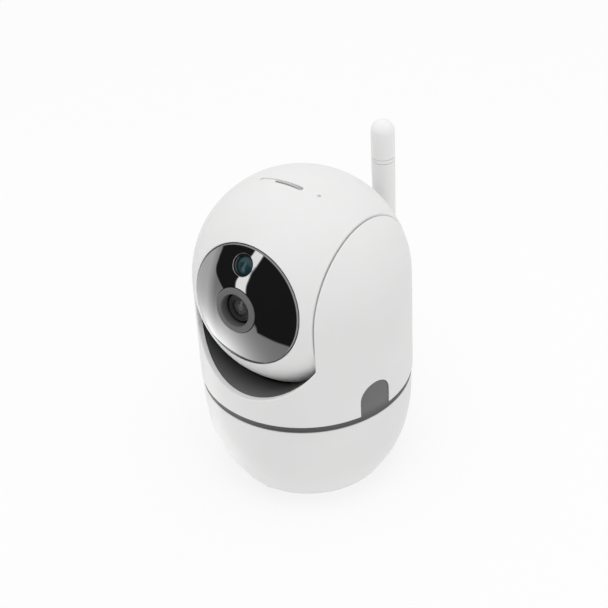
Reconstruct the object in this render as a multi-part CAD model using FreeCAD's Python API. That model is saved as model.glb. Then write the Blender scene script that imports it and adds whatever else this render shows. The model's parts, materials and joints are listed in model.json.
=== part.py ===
import FreeCAD, Part
import math
import os

# Pan and tilt baby monitor camera, millimetres, +Z up.
# Everything is drawn from the pan axis and the plane the feet stand on, and written out
# with its origin in the middle of the tripod thread. The face looks towards -Y.
# A white bowl base carries a turning yoke with two ears. A ball-shaped head, flat on
# both sides, tilts between the ears. A whip antenna stands behind the yoke.

vec = FreeCAD.Vector
ORIGIN, X, Y, Z = vec(0, 0, 0), vec(1, 0, 0), vec(0, 1, 0), vec(0, 0, 1)

# ---- driving dimensions: _R radius, _T thickness, Z_ height, angles in degrees ----
BODY_R = 42.0            # outer radius of the yoke and of the head ball
WALL = 2.2               # wall of the white mouldings
Z_THREAD = 5.8           # middle of the tripod thread above the feet plane
Z_BOWL = 1.6             # underside of the bowl, and so the height of the feet
Z_RIM = 42.0             # top rim of the bowl
Z_YOKE = 45.0            # lower edge of the yoke shell
Z_TILT = 86.93           # tilt axis
RIM_R = 41.5
FLAT_R = 30.8            # flat underside of the bowl
BOWL_POWER = 2.83        # curve of the bowl's side
BAND_R = 41.6            # dark band between bowl and yoke
EAR_X = 27.8             # inner plane of the ears
HEAD_X = 27.4            # half width of the head
LINER_T = 1.5            # liner wall behind an ear's opening
LIP_R = 32.2             # arc of the front opening, about the tilt axis
Z_REAR_LIP = 68.0        # top of the yoke's rear wall
HEAD_CLEAR = 0.8         # gap between the head ball and its cradle
HEAD_T = 2.0             # wall of the head
REST_TILT = 10.0         # the head looks up this much at rest
TILT_DOWN, TILT_UP = 30.0, 60.0   # travel of the head from rest
DECK_BOTTOM, DECK_TOP = 36.0, 38.0
FLOOR_BOTTOM, FLOOR_TOP = 41.2, 42.6   # floor of the turntable
HUB_R, BUSH_R = 9.95, 10.0
STOP_R = 31.3            # pan stops, from the pan axis
SCREW_R, PILOT_R, CLEAR_R = 1.0, 1.03, 1.2   # shank, pilot hole, clearance hole
EAR_SCREW = 13.0         # mounting screws of a motor, either side of its middle
SMALL_HEAD = (1.9, 0.95)               # radius and height of a motor screw's head
ANT_Y, ANT_Z = 56.7, 56.0              # fold axis of the antenna

TILT = vec(0, 0, Z_TILT)
DOWN = vec(0, 0, -1)


# ---- solids -------------------------------------------------------------
def cyl(radius, length, base=ORIGIN, axis=Z):
    return Part.makeCylinder(radius, length, base, axis)


def tube(outer_r, inner_r, length, base=ORIGIN, axis=Z):
    bore = cyl(inner_r, length + 2, base - vec(axis).normalize(), axis)
    return cyl(outer_r, length, base, axis).cut(bore)


def tilt_point(x, y=0.0, up=0.0):
    """Point given from the tilt axis."""
    return vec(x, y, Z_TILT + up)


def xcyl(radius, length, x, y=0.0, up=0.0):
    """Cylinder parallel to the tilt axis."""
    return cyl(radius, length, tilt_point(x, y, up), X)


def xtube(outer_r, inner_r, length, x):
    """Tube on the tilt axis."""
    return tube(outer_r, inner_r, length, tilt_point(x), X)


def box(x0, y0, z0, x1, y1, z1):
    return Part.makeBox(x1 - x0, y1 - y0, z1 - z0, vec(x0, y0, z0))


def ball(radius, centre=TILT):
    return Part.makeSphere(radius, centre)


def between_x(x, y0=-90, y1=90):
    return box(-x, y0, -10, x, y1, 220)


def capsule(radius, z0):
    upright = cyl(radius, Z_TILT - z0, vec(0, 0, z0))
    return upright.fuse(ball(radius)).removeSplitter()


def polygon(points):
    return Part.Face(Part.makePolygon(points + [points[0]]))


def turned(points):
    """Closed outline of (radius, z) points turned about Z."""
    return polygon([vec(radius, 0, z) for radius, z in points]).revolve(ORIGIN, Z, 360)


def pipe(points, radius):
    """Round cable through points."""
    curve = Part.BSplineCurve()
    curve.interpolate([vec(*point) for point in points])
    path = curve.toShape()
    start = path.tangentAt(path.FirstParameter)
    section = Part.Wire([Part.makeCircle(radius, vec(*points[0]), start)])
    return Part.Wire([path]).makePipeShell([section], True, True)


def fuse(shapes):
    return shapes[0].multiFuse(shapes[1:]).removeSplitter()


def cut_each(shape, tools):
    for tool in tools:
        shape = shape.cut(tool)
    return shape


def fuse_each(shape, additions):
    for addition in additions:
        shape = shape.fuse(addition)
    return shape


def rot(shape, angle, centre=ORIGIN, axis=Z):
    turned_shape = shape.copy()
    turned_shape.rotate(centre, axis, angle)
    return turned_shape


def move(shape, offset):
    moved = shape.copy()
    moved.translate(offset)
    return moved


def polar(radius, degrees, z=0.0):
    angle = math.radians(degrees)
    return vec(radius * math.cos(angle), radius * math.sin(angle), z)


def spots(layout, z=0.0):
    """Points of a (radius, angles) layout about the pan axis."""
    radius, angles = layout
    return [polar(radius, angle, z) for angle in angles]


def holes(radius, length, layout, z):
    """Upright cylinders at the points of a layout."""
    return [cyl(radius, length, point) for point in spots(layout, z)]


# ---- edges --------------------------------------------------------------
def treat(shape, size, pick, how):
    """Rounds or bevels the picked edges, smaller if the full size can't be made."""
    edges = [edge for edge in shape.Edges if pick(edge)]
    for trial in (size, size * 0.6, size * 0.35):
        # The kernel can refuse a size. The next one is tried, then the edges stay sharp.
        try:
            out = getattr(shape, how)(trial, edges)
            if out.isValid() and 0.8 * shape.Volume < out.Volume < 1.02 * shape.Volume:
                return out
        except Exception:
            pass
    return shape


def soften(shape, radius, pick):
    return treat(shape, radius, pick, "makeFillet")


def bevel(shape, size, pick):
    return treat(shape, size, pick, "makeChamfer")


def rim(radius, centre_fits=lambda centre: True):
    """Picks arcs of this radius whose centre fits."""
    def pick(edge):
        # Curve raises TypeError on an edge that has no curve of a known kind
        try:
            curve = edge.Curve
        except TypeError:
            return False
        return (curve.TypeId == "Part::GeomCircle" and abs(curve.Radius - radius) < 0.02
                and centre_fits(curve.Center))
    return pick


def along_y(length):
    """Picks edges that span this length in Y."""
    return lambda edge: abs(edge.BoundBox.YLength - length) < 0.01


def middle(edge):
    return edge.valueAt((edge.FirstParameter + edge.LastParameter) / 2)


# ---- output -------------------------------------------------------------
os.makedirs("parts", exist_ok=True)


def save(name, *shapes):
    """Writes the solids of a piece, with the tripod thread at the origin."""
    solids = [solid for shape in shapes for solid in shape.Solids]
    piece = solids[0] if len(solids) == 1 else Part.makeCompound(solids)
    move(piece, vec(0, 0, -Z_THREAD)).exportStep(os.path.join("parts", name + ".step"))


# ---- screws and gears ---------------------------------------------------
def screw(seat, direction, length, head_r=2.1, head_h=1.15):
    """Pan head screw with a cross recess. seat is under the head, direction the shank's."""
    axis = vec(direction).normalize()
    shape = cyl(SCREW_R, length, seat, axis).fuse(cyl(head_r, head_h, seat - axis * head_h, axis))
    across = axis.cross(X if abs(axis.x) < 0.9 else Y).normalize()
    along = across.cross(axis).normalize()
    half_w, half_l = head_r * 0.16, head_r * 0.62
    top = seat - axis * (head_h + 0.01)
    for long_way, short_way in ((along, across), (across, along)):
        corners = [top + long_way * (half_l * i) + short_way * (half_w * j)
                   for i, j in ((-1, -1), (1, -1), (1, 1), (-1, 1))]
        shape = shape.cut(polygon(corners).extrude(axis * head_h * 0.55))
    return shape.removeSplitter()


GEAR_MODULE, RING_TEETH, PINION_TEETH = 0.8, 48, 12
BACKLASH = 0.14
PRESSURE = math.radians(25.0)


def involute(angle):
    return math.tan(angle) - angle


def gear(teeth, height, z0, phase, bore_r):
    """Spur gear about Z with a tooth centred on phase, in degrees."""
    pitch_r = GEAR_MODULE * teeth / 2.0
    base_r = pitch_r * math.cos(PRESSURE)
    tip_r, root_r = pitch_r + 0.88 * GEAR_MODULE, pitch_r - 1.18 * GEAR_MODULE
    half_tooth = (math.pi * GEAR_MODULE / 2 - BACKLASH) / 2 / pitch_r

    def half_angle(radius):
        widest = half_tooth + involute(PRESSURE)
        if radius <= base_r:
            return widest
        return widest - involute(math.acos(base_r / radius))

    start = max(base_r, root_r + 0.05)
    radii = [root_r] + [start + (tip_r - start) * k / 3.0 for k in range(4)]
    flanks = [(radius, -1) for radius in radii] + [(radius, 1) for radius in reversed(radii)]
    points = []
    for i in range(teeth):
        centre = math.radians(phase) + 2 * math.pi * i / teeth
        for radius, side in flanks:
            angle = centre + side * half_angle(radius)
            points.append(vec(radius * math.cos(angle), radius * math.sin(angle), z0))
    blank = polygon(points).extrude(vec(0, 0, height))
    return blank.cut(cyl(bore_r, height + 2, vec(0, 0, z0 - 1)))


# ---- base ---------------------------------------------------------------
# Layouts: radius from the pan axis, angles from +X
FEET = (26.3, (-90, 30, 150))
PLATE_BOSS = (18.0, (-90, 30, 150))
BOARD_BOSS = (27.0, (45, 135, 270))
DECK_BOSS = (35.2, (35, 145, 215, 325))
Z_FLOOR = 4.4            # top of the bowl's floor
Z_BOARD = 12.0           # underside of the power board
BOARD_T = 1.6
Z_POST = 24.0            # lower end of the deck posts
JACK_Z = 15.3
SPEAKER_Z = 27.4
PLATE_Z = Z_BOWL + 0.05
COUNTERSINK = 1.35       # depth of the screw heads in the base plate


def bowl_radius(z):
    drop = max(0.0, (Z_RIM - z) / (Z_RIM - Z_BOWL))
    return FLAT_R + (RIM_R - FLAT_R) * (1 - drop ** BOWL_POWER)


def bowl_outside():
    """Filled turned solid inside the bowl's outer skin, with its two rims eased."""
    low, high, steps = Z_BOWL + 1.0, Z_RIM - 0.35, 10
    heights = [high - (high - low) * i / steps for i in range(steps + 1)]
    side = [vec(bowl_radius(z), 0, z) for z in heights]
    curve = Part.BSplineCurve()
    curve.interpolate(side)
    top_r, foot_r = side[0].x, side[-1].x
    rest = [side[-1]] + [vec(radius, 0, z) for radius, z in (
        (foot_r - 0.18, Z_BOWL + 0.45), (foot_r - 0.62, Z_BOWL + 0.12), (foot_r - 1.2, Z_BOWL),
        (0, Z_BOWL), (0, Z_RIM), (top_r - 0.3, Z_RIM), (top_r - 0.08, Z_RIM - 0.1))] + [side[0]]
    edges = [curve.toShape()] + [Part.makeLine(a, b) for a, b in zip(rest, rest[1:])]
    return Part.Face(Part.Wire(edges)).revolve(ORIGIN, Z, 360)


def bowl_inside():
    """Filled solid of short cones that follows the bowl's side from inside."""
    low, high, steps = Z_FLOOR, Z_RIM + 1.0, 8
    heights = [low + (high - low) * i / steps for i in range(steps + 1)]
    side = [(bowl_radius(min(z, Z_RIM)) - WALL, z) for z in heights]
    return turned([(0, low)] + side + [(0, high)])


def base_bowl():
    bowl = bowl_outside().cut(bowl_inside())
    above_speaker = box(-20, 0, DECK_BOTTOM - 0.6, 20, 60, 60)
    inside = [tube(9.4, 8.5, 5.1, vec(0, 33.6, SPEAKER_Z), Y).cut(above_speaker)]
    post_r, angles = DECK_BOSS
    for angle in angles:
        inside.append(cyl(3.0, DECK_BOTTOM - Z_POST, polar(post_r, angle, Z_POST)))
        inside.append(rot(box(post_r, -0.9, Z_POST, post_r + 4.1, 0.9, DECK_BOTTOM), angle))
    sunk = Z_FLOOR - 0.4
    inside = fuse_each(fuse(inside), holes(2.4, Z_BOARD - sunk, BOARD_BOSS, sunk)
                       + holes(4.3, 9.6 - sunk, PLATE_BOSS, sunk))
    bowl = bowl.fuse(inside).removeSplitter()

    # recess for the base plate, screw holes, foot recesses
    cuts = [cyl(22.0, 1.6, vec(0, 0, Z_BOWL)), cyl(13.0, 6.0, vec(0, 0, Z_BOWL))]
    cuts += holes(PILOT_R, 8.0, DECK_BOSS, DECK_BOTTOM - 7.0)
    cuts += holes(PILOT_R, 8.0, BOARD_BOSS, Z_BOARD - 7.2)
    for point in spots(PLATE_BOSS):
        cuts.append(cyl(3.6, Z_FLOOR - 3.1 + 0.15, point + Z * 3.1))
        cuts.append(cyl(PILOT_R, 4.8, point + Z * 4.0))
    cuts += holes(3.9, 0.8, FEET, Z_BOWL)
    jack_hole = box(-4.4, 30, JACK_Z - 2.1, 4.4, 45, JACK_Z + 2.1)
    cuts.append(soften(jack_hole, 1.6, along_y(15.0)))
    # speaker grille: radius of each ring and its number of holes
    for ring_r, count in ((0.0, 1), (2.6, 6), (5.2, 12)):
        for i in range(count):
            angle = 2 * math.pi * i / count
            spot = vec(ring_r * math.cos(angle), 30.0, SPEAKER_Z + ring_r * math.sin(angle))
            cuts.append(cyl(0.65, 14.0, spot, Y))
    return cut_each(bowl, cuts)


def base_plate():
    plate = fuse([cyl(21.8, 1.5, vec(0, 0, PLATE_Z)), cyl(7.4, 9.6, vec(0, 0, PLATE_Z))]
                 + holes(3.45, 2.7, PLATE_BOSS, PLATE_Z))
    plate = plate.cut(cyl(5.03, 8.3, vec(0, 0, Z_BOWL)))
    for point in spots(PLATE_BOSS):
        plate = plate.cut(cyl(2.4, COUNTERSINK, point + Z * Z_BOWL)).cut(cyl(CLEAR_R, 8, point))
    return plate


save("base_bowl", base_bowl())
save("base_plate", base_plate())

insert = tube(5.0, 2.55, 8.15, vec(0, 0, Z_BOWL + 0.1))
grooves = [tube(6.0, 4.6, 0.8, vec(0, 0, 3.6 + 2.0 * k)) for k in range(3)]
save("tripod_insert", cut_each(insert, grooves))

foot = soften(cyl(3.8, Z_BOWL + 0.75), 0.6, rim(3.8, lambda centre: centre.z < 0.01))
save("rubber_feet", *[move(foot, point) for point in spots(FEET)])

save("base_screws",
     *[screw(point, Z, 5.4) for point in spots(PLATE_BOSS, Z_BOWL + COUNTERSINK)],
     *[screw(point, DOWN, 5.4) for point in spots(BOARD_BOSS, Z_BOARD + BOARD_T)],
     *[screw(point, DOWN, 5.4) for point in spots(DECK_BOSS, DECK_TOP)])

power_board = cyl(34.0, BOARD_T, vec(0, 0, Z_BOARD)).common(box(-24.5, -30.5, 0, 24.5, 33.9, 20))
save("power_board", cut_each(power_board, holes(CLEAR_R, 10, BOARD_BOSS, 8)))

Z_PARTS = Z_BOARD + BOARD_T + 0.02
# x0, y0, x1, y1, height of the blocks on the power board
POWER_BLOCKS = [(-17, -8, -10, -1, 1.6), (8, -20, 16, -13, 1.4), (10, 2, 16, 8, 3.6),
                (-6, -20, 3, -15, 4.4), (-4, 14, 2, 19, 2.2)]
save("power_board_parts",
     *[box(x0, y0, Z_PARTS, x1, y1, Z_PARTS + height) for x0, y0, x1, y1, height in POWER_BLOCKS],
     *[cyl(2.6, 5.4, vec(x, y, Z_PARTS)) for x, y in ((-12, 10), (13, 14))])

jack = soften(box(-3.9, 28.6, Z_PARTS, 3.9, 36.6, Z_PARTS + 3.2), 1.0, along_y(8.0))
socket = box(-3.55, 30.4, Z_PARTS + 0.35, 3.55, 37, Z_PARTS + 2.85)
jack = jack.cut(soften(socket, 0.7, along_y(6.6)))
tongue = box(-2.5, 30.3, Z_PARTS + 1.3, 2.5, 35.6, Z_PARTS + 1.9)
save("power_jack", jack.fuse(tongue).removeSplitter())

# radius, distance from the speaker's inner end
SPEAKER = [(0, 0), (4.2, 0), (4.2, 1.5), (8.3, 1.5), (8.3, 3.9), (7.7, 3.9), (7.7, 2.9),
           (2.8, 3.7), (0, 3.7)]
save("speaker", move(rot(turned(SPEAKER), -90, ORIGIN, X), vec(0, 31.6, SPEAKER_Z)))

# ---- deck, pan bearing and pan drive ------------------------------------
PAN_ANGLE = -90.0        # direction of the pan motor from +X
MOTOR = polar(GEAR_MODULE * (RING_TEETH + PINION_TEETH) / 2.0, PAN_ANGLE)
PAN_SCREWS = [MOTOR + polar(1.0, PAN_ANGLE + 90) * EAR_SCREW * side for side in (-1, 1)]


def base_deck():
    """Deck with the bearing's collar and the fixed pan stop."""
    deck = fuse([cyl(38.9, DECK_TOP - DECK_BOTTOM, vec(0, 0, DECK_BOTTOM)),
                 cyl(13.4, DECK_TOP - 34.4, vec(0, 0, 34.4)),
                 box(-0.6, STOP_R - 1.0, DECK_TOP - 0.5, 0.6, STOP_R + 1.0, 40.05)])
    cuts = [cyl(11.85, 20, vec(0, 0, 25)), cyl(4.9, 20, MOTOR + Z * 25)]
    cuts += [cyl(CLEAR_R, 20, point + Z * 25) for point in PAN_SCREWS]
    cuts += holes(CLEAR_R, 20, DECK_BOSS, 25) + holes(4.2, 20, (26.0, (0, 180)), 25)
    return cut_each(deck, cuts).removeSplitter()


def pan_motor():
    motor = fuse([cyl(10.0, 13.35, vec(0, 0, 22.6)), box(-15.6, -3.4, 34.95, 15.6, 3.4, 35.95),
                  cyl(4.7, 2.0, vec(0, 0, 35.8)), box(-5.5, -13.6, 24.0, 5.5, -8.0, 31.0)])
    pilots = [cyl(PILOT_R, 3, vec(x, 0, 34)) for x in (-EAR_SCREW, EAR_SCREW)]
    return move(cut_each(motor, pilots).cut(cyl(1.05, 20, vec(0, 0, 24.0))), MOTOR)


save("base_deck", base_deck())
bush = tube(11.8, BUSH_R, 3.6, vec(0, 0, 34.45))
flange = tube(13.2, BUSH_R, 0.55, vec(0, 0, DECK_TOP + 0.02))
save("pan_bush", bush.fuse(flange).removeSplitter())
save("pan_motor", pan_motor())
save("pan_motor_screws",
     *[screw(point + Z * DECK_TOP, DOWN, 3.2, *SMALL_HEAD) for point in PAN_SCREWS])
save("pan_motor_shaft", cyl(1.0, 16.5, MOTOR + Z * 24.3))

# the pinion shows a gap where the ring gear has a tooth
pinion = gear(PINION_TEETH, 2.3, 38.75, PAN_ANGLE + 180 + 180.0 / PINION_TEETH, 1.0)
pinion = pinion.fuse(tube(3.0, 1.0, 0.65, vec(0, 0, 38.1))).removeSplitter()
save("pan_pinion", move(pinion, MOTOR))

# ---- turning yoke -------------------------------------------------------
PEGS = (14.4, (30, 150, 270))            # pegs that drive the ring gear
YOKE_BOSS = (33.6, (-30, 90, 210))
TAB_ANGLE = 75.0         # side tabs of the turntable, from the face direction
TAB_HALF = 6.9
TAB_TOP = 58.4
GROOVE_R = 9.3           # clip groove in the hub

ring_gear = gear(RING_TEETH, 2.4, 38.7, PAN_ANGLE, HUB_R + 0.05)
save("pan_gear", cut_each(ring_gear, holes(1.65, 10, PEGS, 35)))


def tab_tool(grow):
    """Arched outline of both side tabs, as radial prisms."""
    half = TAB_HALF + grow
    z_arch = TAB_TOP - TAB_HALF
    tab = box(0, -half, Z_YOKE - 1.5, 60, half, z_arch).fuse(cyl(half, 60, vec(0, 0, z_arch), X))
    return fuse([rot(tab, -90 + side * TAB_ANGLE) for side in (-1, 1)])


def turntable():
    table = fuse([cyl(38.9, FLOOR_TOP - FLOOR_BOTTOM, vec(0, 0, FLOOR_BOTTOM)),
                  tube(BAND_R, 37.0, Z_YOKE - 42.3, vec(0, 0, 42.3)),
                  tube(39.5, 37.0, 2.0, vec(0, 0, Z_YOKE - 0.4)),
                  cyl(HUB_R, FLOOR_BOTTOM + 0.3 - 33.0, vec(0, 0, 33.0))])
    tabs = tab_tool(0).common(tube(BAND_R, 40.0, 20, vec(0, 0, Z_YOKE - 0.8)))
    link = tab_tool(0).common(tube(40.6, 38.5, 1.6, vec(0, 0, Z_YOKE - 0.4)))
    stop = box(-0.6, -STOP_R - 1.0, 39.0, 0.6, -STOP_R + 1.0, FLOOR_BOTTOM + 0.3)
    table = fuse_each(table, [tabs, link] + holes(1.6, 2.2, PEGS, 39.2) + [stop])
    cuts = [cyl(7.4, 30, vec(0, 0, 20)), tube(HUB_R + 1, GROOVE_R, 0.7, vec(0, 0, 33.5))]
    cuts += holes(CLEAR_R, 10, YOKE_BOSS, 36)
    # cable channel towards -X
    cuts.append(box(-25.0, -1.7, FLOOR_BOTTOM - 0.05, -6.5, 1.7, FLOOR_TOP + 0.5))
    cuts.append(box(-10.2, -1.7, 39.4, -6.5, 1.7, FLOOR_TOP + 0.5))
    return cut_each(table.removeSplitter(), cuts)


def pan_clip():
    """Open ring in the hub's groove, with an eye at each end."""
    z, bore_r = 33.55, GROOVE_R + 0.06
    clip = tube(11.2, bore_r, 0.6, vec(0, 0, z)).cut(box(-2.4, 0, 30, 2.4, 20, 36))
    for x in (-3.7, 3.7):
        eye = cyl(1.4, 0.6, vec(x, 10.9, z)).cut(cyl(0.6, 4, vec(x, 10.9, 32)))
        clip = clip.fuse(eye.cut(cyl(bore_r, 6, vec(0, 0, 32))))
    return clip.removeSplitter()


save("turntable", turntable())
save("pan_clip", pan_clip())

# where the arc of the front opening meets the ears
Z_CORNER = Z_TILT - math.sqrt(LIP_R ** 2 - EAR_X ** 2)


def head_opening():
    """Front and rear openings between the ears."""
    front_cut = cyl(LIP_R, 80, tilt_point(0, -80), Y).common(
        box(-EAR_X, -80, 0, EAR_X, 0, Z_TILT))
    front_cut = front_cut.fuse(box(-EAR_X, -80, Z_CORNER, EAR_X, 0, 140)).removeSplitter()
    front_cut = soften(front_cut, 1.8, lambda edge: (
        abs(edge.BoundBox.ZMax - Z_CORNER) < 0.01 and edge.BoundBox.YLength > 70))
    rear_cut = soften(box(-EAR_X, -0.5, Z_REAR_LIP, EAR_X, 80, 140), 8.0, lambda edge: (
        edge.BoundBox.ZMax < Z_REAR_LIP + 0.01 and edge.BoundBox.YLength > 70))
    return front_cut.fuse(rear_cut)


def ear_edge(edge):
    """Outer edge of an ear's inner plane."""
    bounds = edge.BoundBox
    if bounds.XLength > 0.02 or abs(abs(bounds.XMin) - EAR_X) > 0.01:
        return False
    mid = middle(edge)
    distance = math.hypot(mid.x, mid.y) if mid.z < Z_TILT else (mid - TILT).Length
    return abs(distance - BODY_R) < 0.05


def lip_edge(edge):
    """Outer edge of the front opening's arc."""
    mid = middle(edge)
    if mid.z > Z_CORNER + 0.2 or mid.z < Z_YOKE + 6 or abs(mid.x) > EAR_X + 0.01:
        return False
    if abs(math.hypot(mid.x, mid.y) - BODY_R) > 0.05:
        return False
    return abs(math.hypot(mid.x, mid.z - Z_TILT) - LIP_R) < 0.6 and mid.y < 0


def yoke_shell():
    shell = capsule(BODY_R, Z_YOKE).cut(capsule(BODY_R - WALL, Z_YOKE - 1))
    shell = shell.cut(head_opening()).cut(ball(BODY_R + HEAD_CLEAR).common(between_x(EAR_X)))
    shell = shell.cut(tab_tool(0.2))
    boss_r, angles = YOKE_BOSS
    z_foot, z_top = 42.7, 49.5
    for angle in angles:
        rib = rot(box(boss_r, -0.8, 47.0, 40.6, 0.8, z_top), angle)
        shell = shell.fuse(cyl(2.8, z_top - z_foot, polar(boss_r, angle, z_foot)).fuse(rib))
    shell = cut_each(shell.removeSplitter(), holes(PILOT_R, 7.0, YOKE_BOSS, 42))
    shell = shell.cut(cyl(4.6, 20, vec(0, 35, ANT_Z), Y))
    return soften(shell, 0.55, lambda edge: ear_edge(edge) or lip_edge(edge))


save("yoke_shell", yoke_shell())
save("turntable_screws",
     *[screw(point, Z, 6.6, 2.0, 0.95) for point in spots(YOKE_BOSS, FLOOR_BOTTOM)])

STOP_PEG = 16.0          # tilt stop peg, below the tilt axis
SCREW_SIDES = (-EAR_SCREW, EAR_SCREW)


def cradle_liner():
    """Dark trough under the head, and walls that close the ears."""
    trough_r, liner_t = LIP_R + 0.25, 1.2

    def cradle(grow, half_x):
        trough = cyl(trough_r + grow, 80, tilt_point(0, -80), Y)
        return ball(BODY_R + HEAD_CLEAR + grow).fuse(trough).common(between_x(half_x))

    void = cradle(0, EAR_X)
    skin = cradle(liner_t, EAR_X + LINER_T)
    liner = skin.common(capsule(BODY_R - WALL - 0.15, 42.0)).cut(void)
    liner = liner.cut(box(-EAR_X, 0, Z_REAR_LIP - 0.2, EAR_X, 80, 200)).removeSplitter()
    liner = liner.fuse(xcyl(1.5, 2.75, -EAR_X - 1.0, up=-STOP_PEG))
    liner = fuse_each(liner, [xcyl(2.5, 4.0, EAR_X + 0.5, y) for y in SCREW_SIDES])
    liner = liner.removeSplitter()
    return cut_each(liner, [xcyl(8.0, 6, -EAR_X - 4), xcyl(4.8, 6, EAR_X - 2)]
                    + [xcyl(PILOT_R, 6, EAR_X + 0.6, y) for y in SCREW_SIDES])


def tilt_motor():
    motor = soften(xcyl(10.0, 8.2, EAR_X + 1.7), 0.6,
                   rim(10.0, lambda centre: centre.x > EAR_X + 9.0))
    motor = fuse([motor,
                  box(EAR_X + 4.55, -15.4, Z_TILT - 2.8, EAR_X + 5.55, 15.4, Z_TILT + 2.8),
                  xcyl(4.6, 1.7, EAR_X + 0.2),
                  box(EAR_X + 2.0, -5, Z_TILT - 13.4, EAR_X + 6.5, 5, Z_TILT - 8)])
    motor = cut_each(motor, [xcyl(CLEAR_R, 10, EAR_X, y) for y in SCREW_SIDES])
    return motor.cut(xcyl(2.55, 7.0, EAR_X - 0.5))


save("cradle_liner", cradle_liner())
bush = xtube(7.95, 6.0, 1.6, -EAR_X - 1.65).fuse(xtube(9.4, 6.0, 0.8, -EAR_X - LINER_T - 0.85))
save("tilt_bush", bush.removeSplitter())
save("tilt_motor", tilt_motor())
save("tilt_motor_screws",
     *[screw(tilt_point(EAR_X + 5.55, y), -X, 4.6, *SMALL_HEAD) for y in SCREW_SIDES])

# x, y, z of points along each cable
HUB_CABLE = [
    (0, 0, 31.5), (-2.2, 0, 36.0), (-5.2, 0, 40.4), (-10.0, 0, 42.15), (-16.0, 0, 42.3),
    (-22.0, 0, 43.9), (-28.6, 0, 48.6), (-33.6, 0, 57.0), (-35.0, 0, 68.0), (-34.6, 0, 80.0),
    (-33.3, 0, Z_TILT)]
ANTENNA_CABLE = [
    (0, 34.0, ANT_Z), (-3.4, 33.2, 55.4), (-11.5, 31.6, 51.5), (-21.5, 26.5, 49.0),
    (-29.5, 17.5, 50.5), (-34.2, 9.0, 59.0), (-35.2, 5.0, 70.0), (-35.0, 4.0, 80.0)]
save("hub_cable", pipe(HUB_CABLE, 0.75))
save("antenna_cable", pipe(ANTENNA_CABLE, 0.6))

# ---- antenna ------------------------------------------------------------
ANT_TOP = 126.7
ANT_R = 4.75
ANT_BAND = 109.0         # lower groove of the antenna's band
Z_NECK = ANT_Z + 6.4     # lower end of the sleeve
LUG_R, LUG_T = 4.6, 2.05
PIN_R = 1.2


def mount_cyl(radius, length, y):
    """Cylinder along the mount's axis, which runs in Y."""
    return cyl(radius, length, vec(0, y, ANT_Z), Y)


def fold_cyl(radius, length, x):
    """Cylinder on the fold axis."""
    return cyl(radius, length, vec(x, ANT_Y, ANT_Z), X)


def rod_cyl(radius, length, z):
    """Cylinder on the upright antenna's axis."""
    return cyl(radius, length, vec(0, ANT_Y, z))


def antenna_mount():
    mount = soften(mount_cyl(7.4, 6.0, 41.0), 0.8, rim(7.4, lambda centre: centre.y > 46.9))
    mount = mount.cut(cyl(BODY_R + 0.05, 40, vec(0, 0, 40))).fuse(mount_cyl(4.5, 8.0, 35.6))
    return mount.cut(mount_cyl(2.15, 40, 30)).removeSplitter()


def antenna_nut():
    corners = [polar(6.0, 60 * k) for k in range(6)]
    hexagon = polygon([vec(corner.x, 37.3, ANT_Z + corner.y) for corner in corners])
    return hexagon.extrude(vec(0, 1.9, 0)).cut(mount_cyl(4.52, 10, 33))


def antenna_collar():
    """Turning collar with two lugs and a hollow stem with a flange."""
    collar = soften(mount_cyl(5.0, 4.6, 47.05), 0.4, rim(5.0, lambda centre: centre.y < 47.06))
    lugs = []
    for x in (-LUG_R, 2.55):
        arm = box(x, 50.5, ANT_Z - LUG_R, x + LUG_T, ANT_Y, ANT_Z + LUG_R)
        lug = fold_cyl(LUG_R, LUG_T, x).fuse(arm).removeSplitter()
        lug = soften(lug, 0.5, rim(LUG_R, lambda centre: abs(abs(centre.x) - 4.6) < 0.01))
        lugs.append(lug.common(mount_cyl(5.6, 20, 45)))
    collar = fuse([collar] + lugs + [mount_cyl(2.1, 12.6, 34.9), mount_cyl(2.9, 0.6, 34.9)])
    return collar.cut(fold_cyl(1.25, 20, -10)).cut(mount_cyl(0.8, 20, 34))


def antenna_sleeve():
    """Tapered sleeve with a tongue that sits between the lugs."""
    neck_r = ANT_R - 0.3
    sleeve = Part.makeCone(neck_r, ANT_R, ANT_BAND - Z_NECK, vec(0, ANT_Y, Z_NECK), Z)
    sleeve = soften(sleeve, 0.7, rim(neck_r))
    root = box(-2.5, ANT_Y - 4.3, ANT_Z, 2.5, ANT_Y + 4.3, Z_NECK + 0.7)
    tongue = fold_cyl(4.3, 5.0, -2.5).fuse(root).common(rod_cyl(ANT_R - 0.35, 30, ANT_Z - 10))
    sleeve = sleeve.fuse(tongue).removeSplitter().cut(fold_cyl(1.26, 20, -10))
    return sleeve.cut(rod_cyl(3.2, 200, Z_NECK + 3.0))


def antenna_cap():
    """Round-ended cap with two grooves and a spigot into the sleeve."""
    z_round = ANT_TOP - ANT_R
    cap = fuse([rod_cyl(ANT_R, z_round - ANT_BAND - 1.95, ANT_BAND + 1.95),
                ball(ANT_R, vec(0, ANT_Y, z_round)), rod_cyl(ANT_R, 1.4, ANT_BAND + 0.28),
                rod_cyl(ANT_R - 0.35, 4, ANT_BAND + 0.02), rod_cyl(3.1, 5, ANT_BAND - 4.5)])
    return cap.cut(rod_cyl(1.3, 12, ANT_BAND - 6))


save("antenna_mount", antenna_mount())
save("antenna_nut", antenna_nut())
save("antenna_collar", antenna_collar())
save("antenna_pin", bevel(fold_cyl(PIN_R, 9.0, -4.5), 0.2, rim(PIN_R)))
save("antenna_sleeve", antenna_sleeve())
save("antenna_cap", antenna_cap())
save("antenna_element", fuse([rod_cyl(0.9, 28.0, ANT_BAND - 23.0),
                              rod_cyl(2.3, 22.0, ANT_BAND - 41.5)]))

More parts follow.
